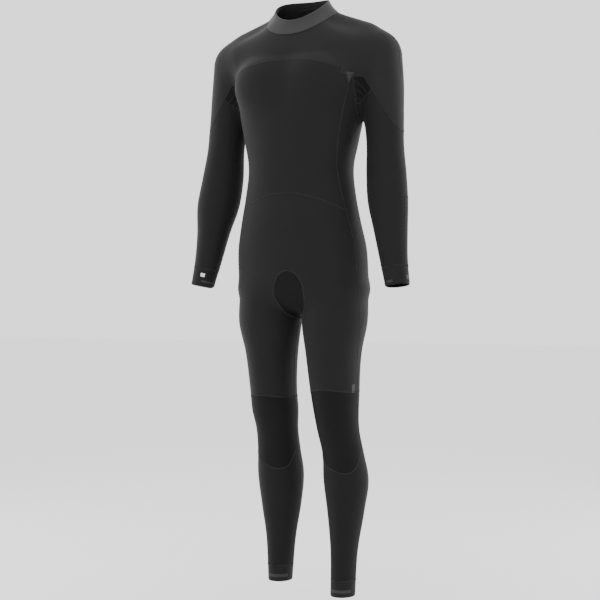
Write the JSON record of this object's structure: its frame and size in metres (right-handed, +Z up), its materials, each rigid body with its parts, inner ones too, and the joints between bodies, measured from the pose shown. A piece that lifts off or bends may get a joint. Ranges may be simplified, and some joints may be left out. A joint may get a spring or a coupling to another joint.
{
  "type": "full wetsuit",
  "caption": "Full-length neoprene wetsuit, filled out to its worn shape, with a stand-up collar, back zip, knee pads and snug cuffs.",
  "frame": {"origin": "inside the neck opening on the suit's middle plane", "axes": "+Z up, the chest faces -Y, the wearer's left is +X"},
  "size_m": [0.5872, 0.2617, 1.4935],
  "materials": {
    "smooth_collar": "smooth rubber skin on neoprene",
    "lining_jersey": "brushed knit lining on neoprene",
    "loop_patch": "short fuzzy loop pile",
    "collar_tab": "knit over neoprene with a stitched edge",
    "yoke_jersey": "fine black knit over neoprene",
    "body_jersey": "fine black knit over neoprene",
    "side_jersey": "fine black knit over neoprene",
    "stretch_gusset": "thin high-stretch black knit",
    "cuff_jersey": "fine black knit over neoprene",
    "knee_rubber": "abrasion-resistant black coating with a fine grain",
    "grey_print": "matt light grey bonded film",
    "zip_tape": "woven tape",
    "zip_plastic": "moulded acetal"
  },
  "bodies": {
    "torso": {"chest_yoke": "yoke_jersey", "torso_front": "body_jersey", "pelvis_front": "body_jersey", "crotch_gusset": "stretch_gusset", "torso_back": "body_jersey", "pelvis_back": "body_jersey", "back_yoke_left": "yoke_jersey", "back_yoke_right": "yoke_jersey", "side_panel_left": "side_jersey", "side_panel_right": "side_jersey", "underarm_gusset_left": "stretch_gusset", "underarm_gusset_right": "stretch_gusset", "chest_patch_left": "grey_print", "collar": "smooth_collar", "collar_lining": "lining_jersey", "collar_loop_patch": "loop_patch", "zip_tape_left": "zip_tape", "zip_tape_right": "zip_tape", "zip_teeth_left": "zip_plastic", "zip_teeth_right": "zip_plastic", "zip_top_stops": "zip_plastic", "zip_bottom_stop": "zip_plastic", "zip_guard": "lining_jersey"},
    "collar_tab": {"collar_tab": "collar_tab"},
    "zip_slider": {"zip_slider": "zip_plastic"},
    "zip_pull": {"zip_pull": "zip_plastic"},
    "upper_arm_left": {"shoulder_left": "yoke_jersey", "upper_sleeve_left": "yoke_jersey"},
    "forearm_left": {"elbow_left": "yoke_jersey", "forearm_front_left": "yoke_jersey", "forearm_back_left": "side_jersey", "wrist_cuff_left": "cuff_jersey", "wrist_tag_left": "grey_print", "wrist_print_left": "grey_print"},
    "thigh_left": {"hip_left": "body_jersey", "thigh_front_left": "body_jersey", "thigh_back_left": "body_jersey"},
    "shin_left": {"knee_pad_left": "knee_rubber", "knee_back_left": "side_jersey", "shin_front_left": "body_jersey", "calf_back_left": "side_jersey", "ankle_cuff_left": "cuff_jersey", "ankle_strip_left": "grey_print"},
    "upper_arm_right": {"shoulder_right": "yoke_jersey", "upper_sleeve_right": "yoke_jersey"},
    "forearm_right": {"elbow_right": "yoke_jersey", "forearm_front_right": "yoke_jersey", "forearm_back_right": "side_jersey", "wrist_cuff_right": "cuff_jersey", "wrist_tag_right": "grey_print", "wrist_print_right": "grey_print"},
    "thigh_right": {"hip_right": "body_jersey", "thigh_front_right": "body_jersey", "thigh_back_right": "body_jersey"},
    "shin_right": {"knee_pad_right": "knee_rubber", "knee_back_right": "side_jersey", "shin_front_right": "body_jersey", "calf_back_right": "side_jersey", "ankle_cuff_right": "cuff_jersey", "ankle_strip_right": "grey_print"}
  },
  "joints": [
    {"name": "shoulder_left", "type": "hinge", "parent": "torso", "child": "upper_arm_left", "pos_m": [0.218, 0.014, -0.2], "axis": [0, -1, 0], "range_deg": [0, 50], "stiffness_Nm_per_rad": 2, "deforming": ["shoulder_left"]},
    {"name": "elbow_left", "type": "hinge", "parent": "upper_arm_left", "child": "forearm_left", "pos_m": [0.224, 0, -0.385], "axis": [-1, 0, 0], "range_deg": [0, 100], "stiffness_Nm_per_rad": 1.2, "deforming": ["elbow_left"]},
    {"name": "hip_left", "type": "hinge", "parent": "torso", "child": "thigh_left", "pos_m": [0.11, 0.006, -0.703], "axis": [-1, 0, 0], "range_deg": [0, 70], "stiffness_Nm_per_rad": 5, "deforming": ["hip_left"]},
    {"name": "knee_left", "type": "hinge", "parent": "thigh_left", "child": "shin_left", "pos_m": [0.092, 0.016, -1.02], "axis": [1, 0, 0], "range_deg": [0, 100], "stiffness_Nm_per_rad": 3, "deforming": ["knee_pad_left", "knee_back_left"]},
    {"name": "shoulder_right", "type": "hinge", "parent": "torso", "child": "upper_arm_right", "pos_m": [-0.218, 0.014, -0.2], "axis": [0, 1, 0], "range_deg": [0, 50], "stiffness_Nm_per_rad": 2, "deforming": ["shoulder_right"]},
    {"name": "elbow_right", "type": "hinge", "parent": "upper_arm_right", "child": "forearm_right", "pos_m": [-0.224, 0, -0.385], "axis": [-1, 0, 0], "range_deg": [0, 100], "stiffness_Nm_per_rad": 1.2, "deforming": ["elbow_right"]},
    {"name": "hip_right", "type": "hinge", "parent": "torso", "child": "thigh_right", "pos_m": [-0.11, 0.006, -0.703], "axis": [-1, 0, 0], "range_deg": [0, 70], "stiffness_Nm_per_rad": 5, "deforming": ["hip_right"]},
    {"name": "knee_right", "type": "hinge", "parent": "thigh_right", "child": "shin_right", "pos_m": [-0.09, 0.046, -1.02], "axis": [1, 0, 0], "range_deg": [0, 100], "stiffness_Nm_per_rad": 3, "deforming": ["knee_pad_right", "knee_back_right"]},
    {"name": "zip_run", "type": "hinge", "parent": "torso", "child": "zip_slider", "pos_m": [0, -0.582, -0.205], "axis": [-1, 0, 0], "range_deg": [0, 31]},
    {"name": "pull_hinge", "type": "hinge", "parent": "zip_slider", "child": "zip_pull", "pos_m": [0, 0.09218, -0.00402], "axis": [1, 0, 0], "range_deg": [0, 160]},
    {"name": "tab_hinge", "type": "hinge", "parent": "torso", "child": "collar_tab", "pos_m": [-0.0315, 0.0685, 0.043], "axis": [0, 0, 1], "range_deg": [0, 100]}
  ]
}
